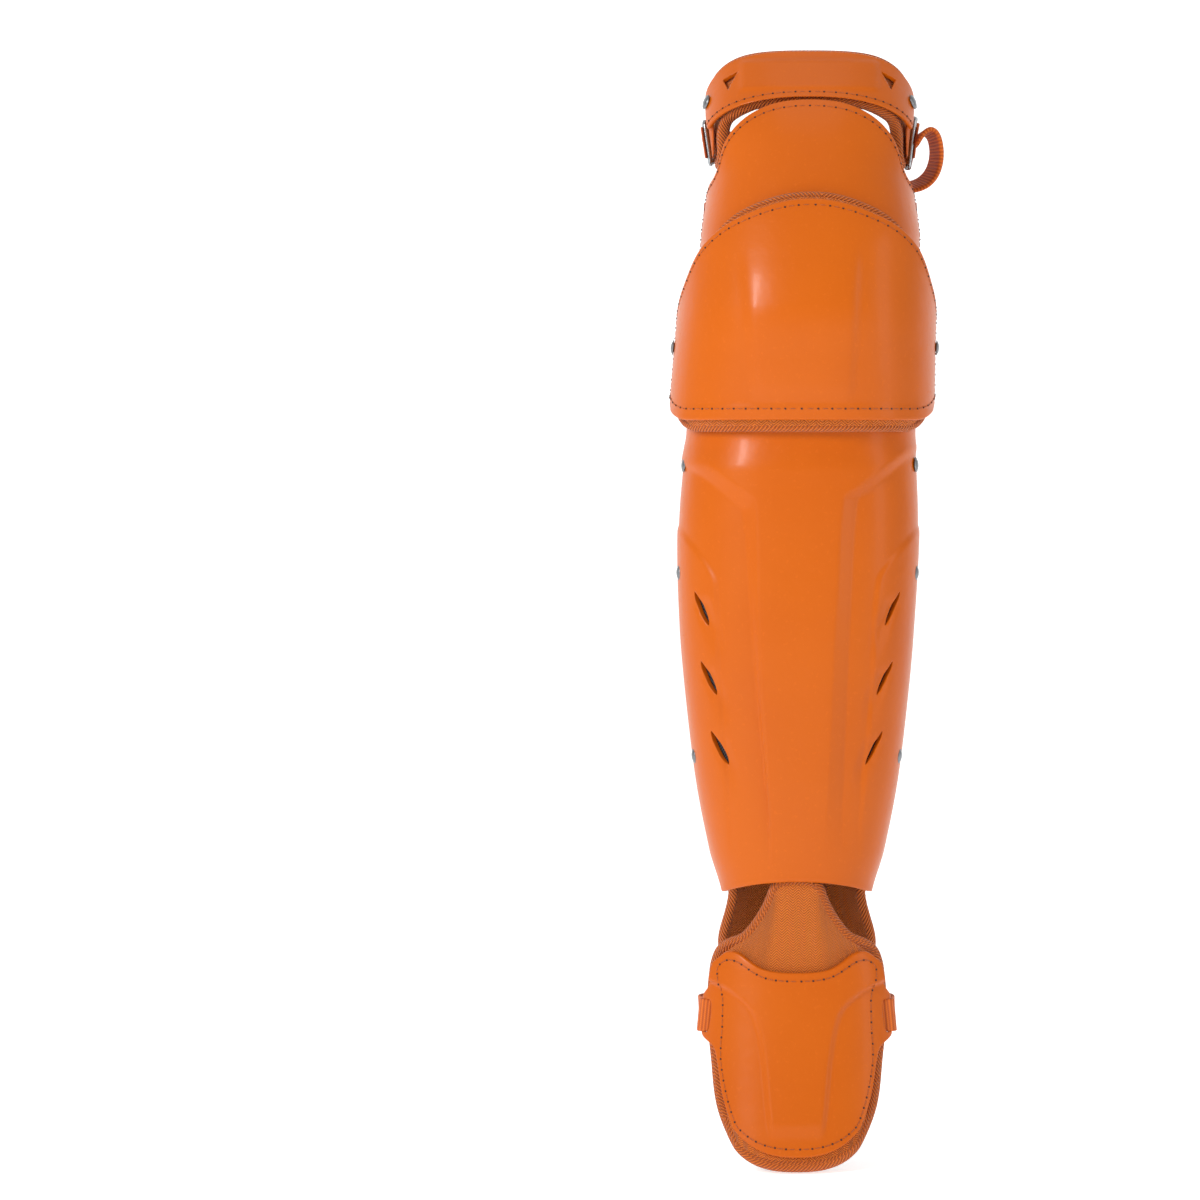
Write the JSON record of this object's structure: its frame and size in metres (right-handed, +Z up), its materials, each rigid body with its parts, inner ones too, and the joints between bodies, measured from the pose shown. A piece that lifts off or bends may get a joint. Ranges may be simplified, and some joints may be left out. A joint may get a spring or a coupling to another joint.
{
  "type": "catcher leg guard",
  "caption": "Leg guard with moulded thigh, knee, shin and foot plates over bound foam pads, closed by elastic straps with hooks.",
  "frame": {"origin": "on the leg's axis at the middle of the knee cap", "axes": "+Z up the leg, -Y to the front of the leg, +X to the right as seen from the front"},
  "size_m": [0.1865, 0.1919, 0.7675],
  "materials": {
    "shell": "gloss",
    "mesh": "matt mesh over foam",
    "binding": "matt twill",
    "elastic": "ribbed elastic",
    "steel": "bright"
  },
  "bodies": {
    "root": {"thigh_top_plate": "shell", "thigh_plate": "shell", "knee_cap": "shell", "shin_plate": "shell", "foot_plate": "shell", "thigh_top_pad": "mesh", "thigh_pad": "mesh", "knee_pad": "mesh", "foot_pad": "mesh", "shin_liner": "mesh", "calf_wing_left": "mesh", "calf_wing_right": "mesh", "knee_ring": "mesh", "thigh_top_binding": "binding", "thigh_binding": "binding", "knee_binding": "binding", "foot_binding": "binding", "thigh_top_strap": "elastic", "thigh_top_hook_tab": "elastic", "thigh_top_ring_tab": "elastic", "thigh_strap": "elastic", "thigh_hook_tab": "elastic", "thigh_ring_tab": "elastic", "knee_strap": "elastic", "knee_hook_tab": "elastic", "knee_ring_tab": "elastic", "calf_strap": "elastic", "calf_hook_tab": "elastic", "calf_ring_tab": "elastic", "lower_calf_strap": "elastic", "lower_calf_hook_tab": "elastic", "lower_calf_ring_tab": "elastic", "foot_strap": "elastic", "thigh_top_d_ring": "steel", "thigh_top_hook": "steel", "thigh_top_slide_ring": "steel", "thigh_d_ring": "steel", "thigh_hook": "steel", "thigh_slide_ring": "steel", "knee_d_ring": "steel", "knee_hook": "steel", "knee_slide_ring": "steel", "calf_d_ring": "steel", "calf_hook": "steel", "calf_slide_ring": "steel", "lower_calf_d_ring": "steel", "lower_calf_hook": "steel", "lower_calf_slide_ring": "steel", "rivet_top_left": "steel", "rivet_top_right": "steel", "rivet_knee_left": "steel", "rivet_knee_right": "steel", "rivet_shin_high_left": "steel", "rivet_shin_high_right": "steel", "rivet_shin_middle_left": "steel", "rivet_shin_middle_right": "steel", "rivet_shin_low_left": "steel", "rivet_shin_low_right": "steel"}
  },
  "joints": []
}
